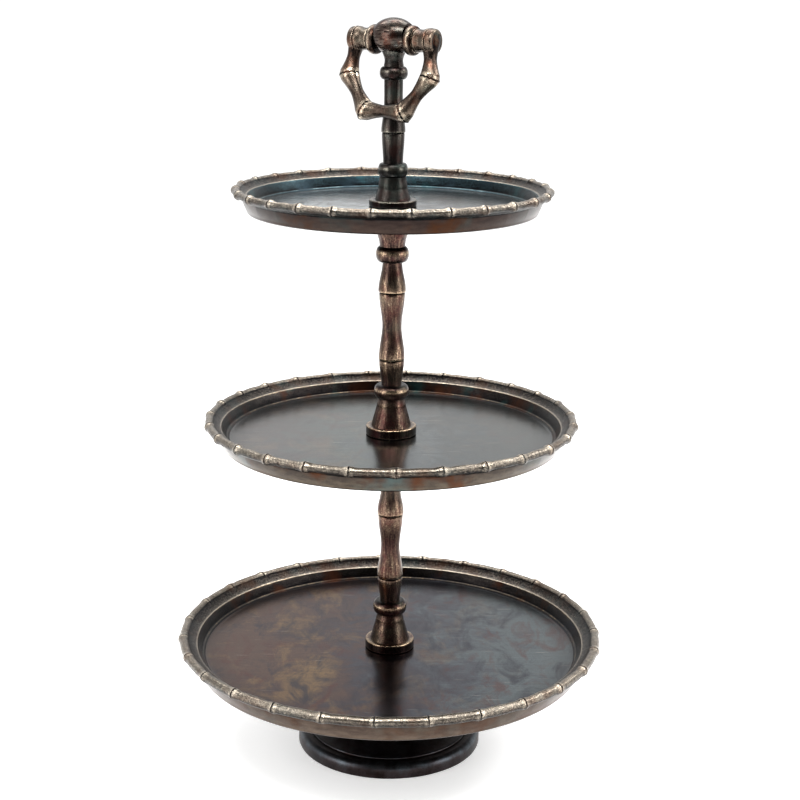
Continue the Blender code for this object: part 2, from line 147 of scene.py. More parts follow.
def markSection(piece, section):
    # carries each section point's wear and painted light to the ring it made, and its zone to the
    # faces after it
    finder = kdtree.KDTree(len(section))
    for index, point in enumerate(section):
        finder.insert((point[0], point[1], 0.0), index)
    finder.balance()
    mesh = piece.data
    nearest = [finder.find((hypot(v.co.x, v.co.y), v.co.z, 0.0))[1] for v in mesh.vertices]
    wear = mesh.attributes.new("wear", "FLOAT", "POINT")
    wear.data.foreach_set("value", [section[index][2] for index in nearest])
    last = len(section) - 1
    for face in mesh.polygons:
        met = {nearest[index] for index in face.vertices}
        strip = last - 1 if met <= {0, last} or met == {0, last - 1} else min(met)
        face.material_index = section[strip][3] if len(section[strip]) > 3 else 0


def dress(piece, node, body, slot, *materials):
    # finish, body and replaced node of one piece; slot is not used
    for material in materials:
        piece.data.materials.append(material)
    alone(piece)
    bpy.ops.object.shade_smooth_by_angle(angle=radians(50))
    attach(piece, body)
    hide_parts(node)
    print("made", piece.name, len(piece.data.polygons), "faces")


# stretches of a turned outline: (radius, height, wear and painted light), 0 in a groove, 1 where
# rubbed; the bright tops of discs and beads are partly painted highlights
def disc(height, radius, edge=0.0008):
    turns = [pi / 8 * step for step in range(5)]
    lower = [(radius - edge + edge * sin(t), edge - edge * cos(t), 0.55) for t in turns]
    # the top edge is made brighter than the lower edge: rubbed wear plus a painted highlight
    upper = [(radius - edge + edge * cos(t), height - edge + edge * sin(t), 0.9) for t in turns]
    upright = [(radius, edge + (height - 2 * edge) * share, 0.30) for share in (0.15, 0.5, 0.85)]
    return lower + upright + upper, height


def cone(height, low, high, parts=8):
    shares = [step / parts for step in range(parts + 1)]
    return [(low + (high - low) * s, height * s, 0.55) for s in shares], height


def sweep(height, low, high, parts=14):
    shares = [step / parts for step in range(parts + 1)]
    points = []
    for s in shares:
        ease = (1 - cos(pi * s)) / 2
        fullness = ease if high > low else 1 - ease
        points.append((low + (high - low) * ease, height * s, 0.45 + 0.2 * fullness))
    return points, height


def bead(height, edge, crown, parts=14):
    turns = [pi * step / parts for step in range(parts + 1)]
    # rubbed crown, plus a narrow painted highlight band just above it
    return [(edge + (crown - edge) * sin(t) ** 0.8, height * (1 - cos(t)) / 2,
             0.10 + 0.36 * sin(t) + 0.40 * exp(-((t - 1.9) / 0.30) ** 2)) for t in turns], height


def dome(height, low, high, parts=12):
    # rounded end, upright at its edge
    turns = [pi / 2 * step / parts for step in range(parts + 1)]
    return [(high + (low - high) * cos(t), height * sin(t), 0.62) for t in turns], height


def groove(height, low, high, depth=0.0011):
    # the cut line of a bamboo node, with a lip above and below it
    return [(low, 0.0, 0.75), (low - 0.0001, 0.12 * height, 0.7),
            (low - 0.6 * depth, 0.27 * height, 0.05), (low - depth, 0.42 * height, 0.0),
            (high - depth, 0.58 * height, 0.0), (high - 0.6 * depth, 0.73 * height, 0.05),
            (high - 0.0001, 0.88 * height, 0.75), (high, height, 0.85)], height


def stackUp(stretches):
    # stretches one on another, from the bottom up
    outline, base = [], 0.0
    for points, height in stretches:
        for radius, level, wear in points:
            point = (radius, base + level, wear)
            if not outline or hypot(radius - outline[-1][0], point[1] - outline[-1][1]) > 1e-5:
                outline.append(point)
        base += height
    return outline, base


# materials
# Sand-cast aluminium, stained dark and rubbed back by hand: bright crowns, near-black hollows,
# a fine pitted skin, and stains of rust, plum and teal left in patches.
castLooks = {
    "rim": {"hollow": "#0C0C0D", "skin": "#3D3834", "worn": "#726A60", "rubbed": "#B6AB9B",
            "stain": "#5F4434", "coolStain": "#45504F", "stainAmount": 0.35,
            "patch": 0.022, "grain": 0.0009, "streak": (0.0022, 0.0022), "streakPull": 0.26,
            "grainPull": 0.62, "relief": 0.75, "roughness": (0.46, 0.24)},
    "post": {"hollow": "#0A0808", "skin": "#332624", "worn": "#5F4D41", "rubbed": "#B09A80",
             "stain": "#5B3434", "coolStain": "#4A4A3E", "stainAmount": 0.55,
             "patch": 0.016, "grain": 0.0010, "streak": (0.0016, 0.030), "streakPull": 0.42,
             "grainPull": 0.42, "relief": 0.50, "roughness": (0.40, 0.20)},
    "handlePost": {"hollow": "#060606", "skin": "#221E1D", "worn": "#383431", "rubbed": "#787368",
                   "stain": "#4B2F2B", "coolStain": "#3B4A45", "stainAmount": 0.5,
                   "patch": 0.014, "grain": 0.0010, "streak": (0.0018, 0.024), "streakPull": 0.34,
                   "grainPull": 0.26, "relief": 0.35, "roughness": (0.40, 0.24)},
    "ball": {"hollow": "#070606", "skin": "#3A2E2B", "worn": "#4E443D", "rubbed": "#8C8073",
             "stain": "#5A3226", "coolStain": "#2F3C39", "stainAmount": 0.7,
             "patch": 0.011, "grain": 0.0010, "streak": (0.006, 0.006), "streakPull": 0.16,
             "grainPull": 0.08, "relief": 0.12, "roughness": (0.30, 0.20)},
    "ring": {"hollow": "#0B0909", "skin": "#3B312B", "worn": "#61554A", "rubbed": "#A99B89",
             "stain": "#6B3F2C", "coolStain": "#575A4E", "stainAmount": 0.45,
             "patch": 0.012, "grain": 0.0011, "streak": (0.0022, 0.010), "streakPull": 0.30,
             "grainPull": 0.30, "relief": 0.45, "roughness": (0.40, 0.23)},
    "innerWall": {"hollow": "#080809", "skin": "#221F1E", "worn": "#3B3732", "rubbed": "#A98F6C",
                  "stain": "#452A1D", "coolStain": "#1F3B3A", "stainAmount": 0.9,
                  "patch": 0.026, "grain": 0.0011, "streak": (0.010, 0.003), "streakPull": 0.18,
                  "grainPull": 0.34, "relief": 0.55, "roughness": (0.40, 0.26)},
    "wall": {"hollow": "#0B0C0D", "skin": "#332D29", "worn": "#574E43", "rubbed": "#B89C72",
             "stain": "#5A3622", "coolStain": "#2E4647", "stainAmount": 0.7,
             "patch": 0.030, "grain": 0.0013, "streak": (0.010, 0.003), "streakPull": 0.16,
             "grainPull": 0.07, "relief": 0.12, "roughness": (0.30, 0.20)},
    "foot": {"hollow": "#0C0A0A", "skin": "#3A3334", "worn": "#464B50", "rubbed": "#7C838A",
             "stain": "#2A1A15", "coolStain": "#16262A", "stainAmount": 0.6,
             "patch": 0.024, "grain": 0.0012, "streak": (0.008, 0.020), "streakPull": 0.20,
             "grainPull": 0.14, "relief": 0.22, "roughness": (0.46, 0.34)},
}


# shared by every casting: where each tone stands on the way from hollow to rubbed, where the
# stains set in, how much of them covers the metal, and how deep the pitted skin is in metres
castPattern = {"tones": (0.0, 0.18, 0.42, 0.68, 0.95), "warmOn": (0.50, 0.66),
               "coolOn": (0.52, 0.68), "warmCover": 0.5, "coolCover": 0.6, "coolScale": 0.8,
               "coolShift": (0.31, 0.17, 0.23), "pitDepth": 0.0003}


def castAluminium(name, look, seed=0.0):
    material, tree = emptyMaterial(name)
    place = addNode(tree, "ShaderNodeTexCoord").outputs["Object"]
    # this attribute holds rubbed wear and patina in hollows, and also painted highlights on bead
    # and disc tops and painted shade under the rims, in the floors' corners and at the ring's roots
    wear = addNode(tree, "ShaderNodeAttribute", {"attribute_name": "wear"}).outputs["Fac"]
    shifted = addNode(tree, "ShaderNodeMapping", {"Location": (seed, seed * 0.7, 0.0)},
                      {"Vector": place}).outputs[0]
    across, along = look["streak"]
    drawn = addNode(tree, "ShaderNodeMapping", {"Scale": (1 / across, 1 / across, 1 / along)},
                    {"Vector": shifted}).outputs[0]
    streaks = addNode(tree, "ShaderNodeTexNoise", {"Scale": 1.0, "Detail": 3.0},
                      {"Vector": drawn}).outputs[0]
    grain = addNode(tree, "ShaderNodeTexNoise",
                    {"Scale": 1 / look["grain"], "Detail": 2.5, "Roughness": 0.65},
                    {"Vector": shifted}).outputs[0]
    patches = addNode(tree, "ShaderNodeTexNoise",
                      {"Scale": 1 / look["patch"], "Detail": 4.0, "Roughness": 0.6},
                      {"Vector": shifted}).outputs[0]
    otherPlace = addNode(tree, "ShaderNodeMapping", {"Location": castPattern["coolShift"]},
                         {"Vector": shifted}).outputs[0]
    otherPatches = addNode(tree, "ShaderNodeTexNoise",
                           {"Scale": castPattern["coolScale"] / look["patch"], "Detail": 3.0,
                            "Roughness": 0.55},
                           {"Vector": otherPlace}).outputs[0]
    # how far the stain is rubbed away: the shape's own wear together with the painted highlights
    # and painted shade it carries, broken up by streaks and grain
    byStreak, byGrain = [
        addNode(tree, "ShaderNodeMath", {"operation": "MULTIPLY_ADD", 1: 2 * look[pull],
                2: -look[pull]}, {0: pattern}).outputs[0]
        for pull, pattern in (("streakPull", streaks), ("grainPull", grain))]
    uneven = addNode(tree, "ShaderNodeMath", {"operation": "ADD"},
                     {0: byStreak, 1: byGrain}).outputs[0]
    rubbed = addNode(tree, "ShaderNodeMath", {"operation": "ADD", "use_clamp": True},
                     {0: wear, 1: uneven}).outputs[0]
    tones = [look[key] for key in ("hollow", "hollow", "skin", "worn", "rubbed")]
    metal = addNode(tree, "ShaderNodeValToRGB", {"stops": list(zip(castPattern["tones"], tones))},
                    {"Fac": rubbed}).outputs[0]
    masks, covers = {}, {}
    for label, pattern in (("warm", patches), ("cool", otherPatches)):
        start, end = castPattern[label + "On"]
        masks[label] = addNode(tree, "ShaderNodeMapRange", {"From Min": start, "From Max": end,
                               "To Max": look["stainAmount"]}, {"Value": pattern}).outputs[0]
        covers[label] = addNode(tree, "ShaderNodeMath", {"operation": "MULTIPLY",
                                1: castPattern[label + "Cover"]}, {0: masks[label]}).outputs[0]
    soaked = addNode(tree, "ShaderNodeMix", {"data_type": "RGBA", "blend_type": "OVERLAY",
                     7: toLinear(look["stain"])}, {0: masks["warm"], 6: metal}).outputs[2]
    warm = addNode(tree, "ShaderNodeMix", {"data_type": "RGBA", 7: toLinear(look["stain"])},
                   {0: covers["warm"], 6: soaked}).outputs[2]
    colour = addNode(tree, "ShaderNodeMix", {"data_type": "RGBA", 7: toLinear(look["coolStain"])},
                     {0: covers["cool"], 6: warm}).outputs[2]
    dull, bright = look["roughness"]
    gloss = addNode(tree, "ShaderNodeMapRange", {"To Min": dull, "To Max": bright},
                    {"Value": rubbed}).outputs[0]
    relief = addNode(tree, "ShaderNodeBump", {"Strength": look["relief"],
                     "Distance": castPattern["pitDepth"]}, {"Height": grain}).outputs[0]
    endMaterial(tree, {"Metallic": 1.0},
                {"Base Color": colour, "Roughness": gloss, "Normal": relief})
    return material


# Dish floors, cast, turned flat and brushed to a satin half-mirror, then stained unevenly.
floorLooks = {
    "bottom": {"colours": [(0.16, "#543F36"), (0.34, "#483735"), (0.50, "#3B3840"),
                           (0.66, "#464A51"), (0.84, "#586063")],
               "blot": "#7C6242", "blotAmount": 0.62, "dark": "#1E1E2C", "darkAmount": 0.80,
               "red": "#4E2620", "redAmount": 0.60,
               "edge": "#1C1819", "mottle": 0.024, "reach": 0.155, "roughness": (0.18, 0.25),
               "patch": {"Location": (-0.066, -0.074, 0.0), "Rotation": (0.0, 0.0, -0.40),
                         "Scale": (0.017, 0.052, 1.0)}, "patchAmount": 0.60},
    "middle": {"colours": [(0.16, "#5F5C5B"), (0.36, "#5C6361"), (0.52, "#5A6062"),
                           (0.68, "#4A5051"), (0.86, "#505351")],
               "blot": "#80705F", "blotAmount": 0.35, "dark": "#3E4244", "darkAmount": 0.40,
               "red": "#5A4A44", "redAmount": 0.30,
               "edge": "#1E2021", "mottle": 0.030, "reach": 0.132, "roughness": (0.16, 0.22),
               "patch": {"Location": (-0.072, 0.104, 0.0), "Rotation": (0.0, 0.0, 0.1),
                         "Scale": (0.011, 0.013, 1.0)}, "patchAmount": 0.75},
    # the pale left end of the top floor's tones is a painted reflection; the rest of these tones
    # are stains
    "top": {"colours": [(0.16, "#CBD2D6"), (0.36, "#B3BABE"), (0.52, "#868D91"),
                        (0.68, "#5F6467"), (0.86, "#62686A")],
            "blot": "#76685A", "blotAmount": 0.12, "dark": "#3C444A", "darkAmount": 0.45,
            "red": "#5E4E50", "redAmount": 0.30,
            "edge": "#1A1D1F", "mottle": 0.026, "reach": 0.110, "roughness": (0.16, 0.23),
            "patch": {"Location": (0.050, -0.050, 0.0), "Rotation": (0.0, 0.0, 0.7),
                      "Scale": (0.014, 0.030, 1.0)}, "patchAmount": 0.20},
}


# shared by the three floors, in features per metre unless said: strokes 50 mm long and 0.9 mm
# wide, which is as fine as can show, blots 40 mm and clouds 25 mm across, and hair scratches
floorPattern = {"brush": (20.0, 1100.0, 20.0), "speckle": 600.0, "blot": 26.0, "cloud": 40.0,
                "hair": (38.0, 1300.0, 1.0), "hairTurn": 0.6, "hairTone": "#B4AAA0",
                "blotOn": (0.51, 0.63), "cloudOn": (0.52, 0.68), "redOn": (0.46, 0.34),
                "hairOn": (0.80, 0.86), "hairAmount": 0.55, "patchOn": (1.65, 1.25),
                "mottlePull": 0.9, "patchWaver": 1.1, "depth": 0.0003, "relief": 0.07}


def brushedFloor(name, look, seed):
    material, tree = emptyMaterial(name)
    place = addNode(tree, "ShaderNodeTexCoord").outputs["Object"]
    wear = addNode(tree, "ShaderNodeAttribute", {"attribute_name": "wear"}).outputs["Fac"]
    shifted = addNode(tree, "ShaderNodeMapping", {"Location": (seed, -seed, 0.0)},
                      {"Vector": place}).outputs[0]
    # brush lines run from side to side
    drawn = addNode(tree, "ShaderNodeMapping", {"Scale": floorPattern["brush"]},
                    {"Vector": shifted}).outputs[0]
    brush = addNode(tree, "ShaderNodeTexNoise", {"Scale": 1.0, "Detail": 2.0},
                    {"Vector": drawn}).outputs[0]
    mottle = addNode(tree, "ShaderNodeTexNoise", {"Scale": 1 / look["mottle"], "Detail": 5.0,
                     "Roughness": 0.62, "Distortion": 0.8}, {"Vector": shifted}).outputs[0]
    speckle = addNode(tree, "ShaderNodeTexNoise", {"Scale": floorPattern["speckle"],
                      "Detail": 3.0, "Roughness": 0.8}, {"Vector": shifted}).outputs[0]
    # tones run from left to right across the floor: stains, and on the top floor a paler left side
    # that is a painted reflection
    sideways = addNode(tree, "ShaderNodeSeparateXYZ", None, {"Vector": place}).outputs["X"]
    spread = addNode(tree, "ShaderNodeMapRange", {"From Min": -look["reach"],
                     "From Max": look["reach"]}, {"Value": sideways}).outputs[0]
    pull = floorPattern["mottlePull"]
    raised = addNode(tree, "ShaderNodeMath", {"operation": "MULTIPLY_ADD", 1: pull},
                     {0: mottle, 2: spread}).outputs[0]
    mixed = addNode(tree, "ShaderNodeMath", {"operation": "SUBTRACT", 1: pull / 2},
                    {0: raised}).outputs[0]
    stain = addNode(tree, "ShaderNodeValToRGB", {"stops": look["colours"]},
                    {"Fac": mixed}).outputs[0]
    # ochre blots, more of them on the left
    elsewhere = addNode(tree, "ShaderNodeMapping", {"Location": (0.4, 0.2, 0.0),
                        "Scale": (1.0, 0.6, 1.0)}, {"Vector": shifted}).outputs[0]
    blots = addNode(tree, "ShaderNodeTexNoise", {"Scale": floorPattern["blot"], "Detail": 7.0,
                    "Roughness": 0.72, "Distortion": 0.5}, {"Vector": elsewhere}).outputs[0]
    leftHeavy = addNode(tree, "ShaderNodeMapRange", {"From Min": 0.1,
                        "From Max": -0.4 * look["reach"], "To Min": 0.15, "To Max": 1.0},
                        {"Value": sideways}).outputs[0]
    work = addNode(tree, "ShaderNodeMath", {"operation": "MULTIPLY"},
                   {0: brush, 1: speckle}).outputs[0]
    worked = addNode(tree, "ShaderNodeMapRange", {"From Min": 0.12, "From Max": 0.40,
                     "To Min": 0.78, "To Max": 1.20}, {"Value": work}).outputs[0]
    # a patch where the stain is polished thin
    spot = addNode(tree, "ShaderNodeMapping", {"vector_type": "TEXTURE", **look["patch"]},
                   {"Vector": place}).outputs[0]
    away = addNode(tree, "ShaderNodeVectorMath", {"operation": "LENGTH"}, {0: spot}).outputs[1]
    wavering = addNode(tree, "ShaderNodeMath", {"operation": "MULTIPLY_ADD",
                       1: floorPattern["patchWaver"]}, {0: mottle, 2: away}).outputs[0]
    # dark plum clouds with red between them, and a few pale hair scratches
    drift = addNode(tree, "ShaderNodeMapping", {"Scale": (1.0, 0.5, 1.0)},
                    {"Vector": shifted}).outputs[0]
    clouds = addNode(tree, "ShaderNodeTexNoise", {"Scale": floorPattern["cloud"], "Detail": 5.0,
                     "Roughness": 0.65, "Distortion": 0.8}, {"Vector": drift}).outputs[0]
    hair = addNode(tree, "ShaderNodeMapping", {"Rotation": (0.0, 0.0, floorPattern["hairTurn"]),
                   "Scale": floorPattern["hair"]}, {"Vector": shifted}).outputs[0]
    hairs = addNode(tree, "ShaderNodeTexNoise", {"Scale": 1.0, "Detail": 0.0},
                    {"Vector": hair}).outputs[0]
    masks = {}
    for label, pattern, amount in (("blot", blots, look["blotAmount"]),
                                   ("patch", wavering, look["patchAmount"]),
                                   ("cloud", clouds, look["darkAmount"]),
                                   ("red", clouds, look["redAmount"]),
                                   ("hair", hairs, floorPattern["hairAmount"])):
        start, end = floorPattern[label + "On"]
        masks[label] = addNode(tree, "ShaderNodeMapRange", {"From Min": start, "From Max": end,
                               "To Max": amount}, {"Value": pattern}).outputs[0]
    masks["blot"] = addNode(tree, "ShaderNodeMath", {"operation": "MULTIPLY"},
                            {0: masks["blot"], 1: leftHeavy}).outputs[0]
    tones = {"blot": look["blot"], "patch": look["blot"], "cloud": look["dark"],
             "red": look["red"], "hair": floorPattern["hairTone"]}
    layered = stain
    for label, tone in tones.items():
        layered = addNode(tree, "ShaderNodeMix", {"data_type": "RGBA", 7: toLinear(tone)},
                          {0: masks[label], 6: layered}).outputs[2]
    toned = addNode(tree, "ShaderNodeMix", {"data_type": "RGBA", "blend_type": "MULTIPLY", 0: 1.0},
                    {6: layered, 7: worked}).outputs[2]
    # painted shade: a dark line where the wall meets the floor
    cornerShadeMask = addNode(tree, "ShaderNodeMapRange", {"From Min": 0.5, "From Max": 0.0},
                       {"Value": wear}).outputs[0]
    colour = addNode(tree, "ShaderNodeMix", {"data_type": "RGBA", 7: toLinear(look["edge"])},
                     {0: cornerShadeMask, 6: toned}).outputs[2]
    smooth, dull = look["roughness"]
    gloss = addNode(tree, "ShaderNodeMapRange", {"From Min": 0.3, "From Max": 0.7, "To Min": smooth,
                    "To Max": dull}, {"Value": brush}).outputs[0]
    height = addNode(tree, "ShaderNodeMath", {"operation": "ADD"},
                     {0: brush, 1: speckle}).outputs[0]
    relief = addNode(tree, "ShaderNodeBump", {"Strength": floorPattern["relief"],
                     "Distance": floorPattern["depth"]}, {"Height": height}).outputs[0]
    endMaterial(tree, {"Metallic": 1.0},
                {"Base Color": colour, "Roughness": gloss, "Normal": relief})
    return material


def zincSteel():
    # turned steel, zinc plated: pale grey with faint turning lines 0.6 mm apart
    material, tree = emptyMaterial("zincPlatedSteelTurned")
    place = addNode(tree, "ShaderNodeTexCoord").outputs["Object"]
    drawn = addNode(tree, "ShaderNodeMapping", {"Scale": (300.0, 300.0, 1800.0)},
                    {"Vector": place}).outputs[0]
    lines = addNode(tree, "ShaderNodeTexNoise", {"Scale": 1.0, "Detail": 3.0},
                    {"Vector": drawn}).outputs[0]
    colour = addNode(tree, "ShaderNodeValToRGB", {"stops": [(0.3, "#8E9093"), (0.7, "#C2C5C6")]},
                     {"Fac": lines}).outputs[0]
    gloss = addNode(tree, "ShaderNodeMapRange", {"To Min": 0.28, "To Max": 0.44},
                    {"Value": lines}).outputs[0]
    relief = addNode(tree, "ShaderNodeBump", {"Strength": 0.15, "Distance": 0.0002},
                     {"Height": lines}).outputs[0]
    endMaterial(tree, {"Metallic": 1.0},
                {"Base Color": colour, "Roughness": gloss, "Normal": relief})
    return material


def vulcanisedFibre():
    # pressed red-brown fibre sheet, punched: dull, with short pressed fibres 0.7 mm across
    material, tree = emptyMaterial("vulcanisedFibrePunched")
    place = addNode(tree, "ShaderNodeTexCoord").outputs["Object"]
    fibres = addNode(tree, "ShaderNodeTexNoise", {"Scale": 1400.0, "Detail": 4.0,
                     "Roughness": 0.7}, {"Vector": place}).outputs[0]
    colour = addNode(tree, "ShaderNodeValToRGB", {"stops": [(0.3, "#3A2019"), (0.7, "#5E352A")]},
                     {"Fac": fibres}).outputs[0]
    relief = addNode(tree, "ShaderNodeBump", {"Strength": 0.4, "Distance": 0.0002},
                     {"Height": fibres}).outputs[0]
    endMaterial(tree, {"Roughness": 0.82}, {"Base Color": colour, "Normal": relief})
    return material


rimMetal = castAluminium("castAluminiumHandRubbedRim", castLooks["rim"])
postMetal = castAluminium("castAluminiumTurnedPost", castLooks["post"], 0.35)
handlePostMetal = castAluminium("castAluminiumDarkStained", castLooks["handlePost"], 0.83)
ballMetal = castAluminium("castAluminiumDarkPolished", castLooks["ball"], 0.44)
ringMetal = castAluminium("castAluminiumHandRubbedRing", castLooks["ring"], 0.57)
footMetal = castAluminium("castAluminiumBlackStained", castLooks["foot"], 0.71)
print("materials ready")

# trays
rimNodes = 27
trays = {
    "bottom": {"node": "bottom_tray", "floor": bottomFloor, "radius": 0.1780, "cane": 0.00405,
               "rimHeight": 0.0128, "ledge": 0.0075, "lipDrop": 0.0034, "wallDepth": 0.0082,
               "firstNode": -3.3, "seed": 3.1, "swell": 0.5,
               "wallStains": {"skin": "#372E29", "worn": "#5B4F45", "stain": "#523829",
                              "coolStain": "#42443F"},
               "insideStains": {"coolStain": "#20242C"}},
    "middle": {"node": "middle_tray", "floor": middleFloor, "radius": 0.1524, "cane": 0.00350,
               "rimHeight": 0.0124, "ledge": 0.0065, "lipDrop": 0.0030, "wallDepth": 0.0052,
               "firstNode": 1.8, "seed": 7.7, "swell": 0.9,
               "wallStains": {"coolStain": "#3B5456"}, "insideStains": {}},
    "top": {"node": "top_tray", "floor": topFloor, "radius": 0.1270, "cane": 0.00305,
            "rimHeight": 0.0123, "ledge": 0.0056, "lipDrop": 0.0026, "wallDepth": 0.0046,
            "firstNode": 6.5, "seed": 12.9, "swell": 0.9,
            "wallStains": {"skin": "#231C1A", "worn": "#392F2A", "stain": "#4A2C18",
                           "coolStain": "#2C3A39"},
            "insideStains": {"skin": "#1D282C", "worn": "#36474C", "rubbed": "#93A09E",
                             "coolStain": "#1C4A4E", "stain": "#2E3C44"}},
}
dish = {"floorThickness": 0.0045, "wall": 0.0045, "lean": 0.0040, "ramp": 0.0120, "bore": 0.0043,
        "tuck": 0.0012, "shoulder": 0.0008, "rounding": 0.0020, "belly": 0.0004, "sag": 0.0005,
        "rim": 0, "side": 1, "floor": 2, "under": 1, "inside": 3,
        # the turned step at the foot of the wall and the ledge's lip: across, up, wear and painted
        # light; the step's low values paint shade into the floor's corner
        "step": [(-0.0026, 0.0, 0.16), (-0.0018, 0.0003, 0.20), (-0.0012, 0.0010, 0.60),
                 (-0.0008, 0.0014, 0.70), (-0.0002, 0.0016, 0.30), (0.0002, 0.0020, 0.14)],
        "lip": [(0.0, -0.0003, 0.80), (0.0005, 0.0, 0.85), (0.0011, 0.0002, 0.50)]}
cane = {"swell": 0.0010, "swellLength": 0.0030, "pinch": 0.0003, "pinchAt": 0.0075,
        "pinchLength": 0.003, "rubAt": 0.0020, "rubLength": 0.0012,
        "cut": 0.0006, "cutWidth": 0.00036, "straight": 0.60, "uneven": 0.00032,
        "stations": (0.0, 0.00035, 0.00075, 0.0013, 0.0022, 0.0040, 0.0070, 0.0110)}


def traySection(tray):
    middle = tray["radius"] - tray["cane"]
    height, radius = tray["rimHeight"], tray["cane"]
    lip = middle - radius - tray["ledge"]
    foot = lip - dish["lean"]
    outerFoot = foot + dish["wall"]
    outerTop = lip + dish["wall"]
    lipHeight = height - tray["lipDrop"]
    under = height - radius - dish["tuck"]
    wallTop = under - dish["shoulder"]
    rounding = dish["rounding"]
    rim, side, floor, below = dish["rim"], dish["side"], dish["floor"], dish["under"]
    inside = dish["inside"]
    points = []
    # the cane, from its inner side over the top and down its outer side: rubbed lighter over the
    # top, with painted shade on its underside
    for step in range(23):
        angle = radians(155 - 245 * step / 22)
        wear = 0.30 + 0.42 * max(0.0, sin(angle + radians(15))) ** 0.7
        wear = 0.05 if step < 1 else wear if step < 19 else 0.18
        points.append((middle + radius * cos(angle), height + radius * sin(angle), wear, rim))
    # painted shade: near-black in the recess under the cane and dark at the head of the wall
    points += [(middle - 0.5 * radius, height - radius - 0.0003, 0.05, rim),
               (outerTop + 0.0016, under - 0.0001, 0.02, side), (outerTop, wallTop, 0.10, side)]
    # down the outside of the wall and round its lower edge
    wallSpan = wallTop + tray["wallDepth"] - rounding
    for step in range(1, 9):
        share = step / 8
        points.append((outerTop + (outerFoot - outerTop) * share + dish["belly"] * sin(pi * share),
                       wallTop - wallSpan * share, 0.40 + 0.15 * share, side))
    for step in range(1, 6):
        angle = pi / 2 * step / 5
        points.append((outerFoot - rounding + rounding * cos(angle),
                       rounding - tray["wallDepth"] - rounding * sin(angle), 0.50, side))
    # across the underside, through the bore and out over the floor
    points += [(outerFoot - dish["ramp"], -dish["floorThickness"], 0.30, below),
               (0.060, -dish["floorThickness"], 0.35, below),
               (dish["bore"], -dish["floorThickness"], 0.30, below),
               (dish["bore"], 0.0, 0.4, floor), (0.030, 0.0, 0.5, floor), (0.080, 0.0, 0.5, floor),
               (foot - 0.0220, 0.0, 0.5, floor), (foot - 0.0060, 0.0, 0.32, floor)]
    # up the inside of the wall, over the lip and back along the ledge
    points += [(foot + across, up, wear, inside) for across, up, wear in dish["step"]]
    for step in range(1, 8):
        share = step / 8
        points.append((foot + 0.0002 + (lip - 0.0007 - foot) * share ** 1.15,
                       0.0020 + (lipHeight - 0.0032) * share, 0.24 + 0.20 * share, inside))
    points.append((lip - 0.0004, lipHeight - 0.0009, 0.50, inside))
    points += [(lip + across, lipHeight + up, wear, rim) for across, up, wear in dish["lip"]]
    inner, ledge = points[0], points[-1]
    for step in range(1, 6):
        share = step / 6
        points.append((ledge[0] + (inner[0] - ledge[0]) * share,
                       ledge[1] + (inner[1] - ledge[1]) * share - dish["sag"] * sin(pi * share),
                       0.42 - 0.22 * share, rim))
    return points + [inner]


def shapeCane(piece, tray):
    # draws the rim's facets to its nodes, then swells, cuts and roughens the cane
    stations = cane["stations"]
    perNode = 2 * len(stations)
    pitch = 2 * pi / rimNodes
    middle = tray["radius"] - tray["cane"]
    lip = middle - tray["cane"] - tray["ledge"]
    halfPitch = pitch / 2
    start = radians(tray["firstNode"] - 90)
    wear = piece.data.attributes["wear"].data
    for vertex in piece.data.vertices:
        x, y, z = vertex.co
        radius = hypot(x, y)
        step = round(atan2(y, x) / pitch * perNode) % (rimNodes * perNode)
        segment, place = divmod(step, perNode)
        if place < len(stations):
            arc = stations[place]
        elif place == len(stations):
            arc = middle * halfPitch
        else:
            arc = -stations[perNode - place]
            segment += 1
        turn = arc / middle
        rimShare = min(1.0, max(0.0, (radius - lip) / (middle - lip)))
        flat = middle * (cos(halfPitch) / cos(halfPitch - abs(turn)) - 1)
        radius += cane["straight"] * rimShare * flat
        angle = start + segment * pitch + turn
        across, up = radius - middle - cane["straight"] * rimShare * flat, z - tray["rimHeight"]
        distance = hypot(across, up)
        onCane = 0.5 * tray["cane"] < distance < 1.02 * tray["cane"]
        if onCane and radius > lip + 0.6 * tray["ledge"]:
            share = tray["cane"] / trays["bottom"]["cane"]
            spot = Vector((cos(angle) * radius, sin(angle) * radius, z + tray["seed"]))
            push = tray["swell"] * cane["swell"] * exp(-(arc / cane["swellLength"]) ** 2)
            pinched = (abs(arc) - cane["pinchAt"]) / cane["pinchLength"]
            push -= share * cane["pinch"] * exp(-pinched ** 2)
            push -= share * cane["cut"] * exp(-(arc / cane["cutWidth"]) ** 2)
            push += cane["uneven"] * (noise.noise(spot / 0.009) + 0.5 * noise.noise(spot / 0.004))
            radius += across / distance * push
            z += up / distance * push
            near = wear[vertex.index].value
            near += 0.22 * exp(-((abs(arc) - cane["rubAt"]) / cane["rubLength"]) ** 2)
            cutShare = min(1.0, max(0.0, 0.5 + up / distance))
            near *= 1 - cutShare * exp(-(arc / (1.3 * cane["cutWidth"])) ** 4)
            wear[vertex.index].value = max(0.0, near)
        vertex.co = (cos(angle) * radius, sin(angle) * radius, z)


for label, tray in trays.items():
    dished = spinSection(label + "TrayFinished", traySection(tray),
                         rimNodes * 2 * len(cane["stations"]))
    shapeCane(dished, tray)
    settle(dished, Matrix.Translation((0, 0, tray["floor"])))
    floorMetal = brushedFloor("castAluminiumBrushed" + label.capitalize() + "Floor",
                              floorLooks[label], tray["seed"] / 10)
    wallMetal = castAluminium("castAluminiumStained" + label.capitalize() + "Wall",
                              {**castLooks["wall"], **tray["wallStains"]}, tray["seed"] / 7)
    innerMetal = castAluminium("castAluminiumDark" + label.capitalize() + "Inside",
                               {**castLooks["innerWall"], **tray["insideStains"]},
                               tray["seed"] / 5)
    dress(dished, tray["node"], "stand", tray["node"], rimMetal, wallMetal, floorMetal,
          innerMetal)

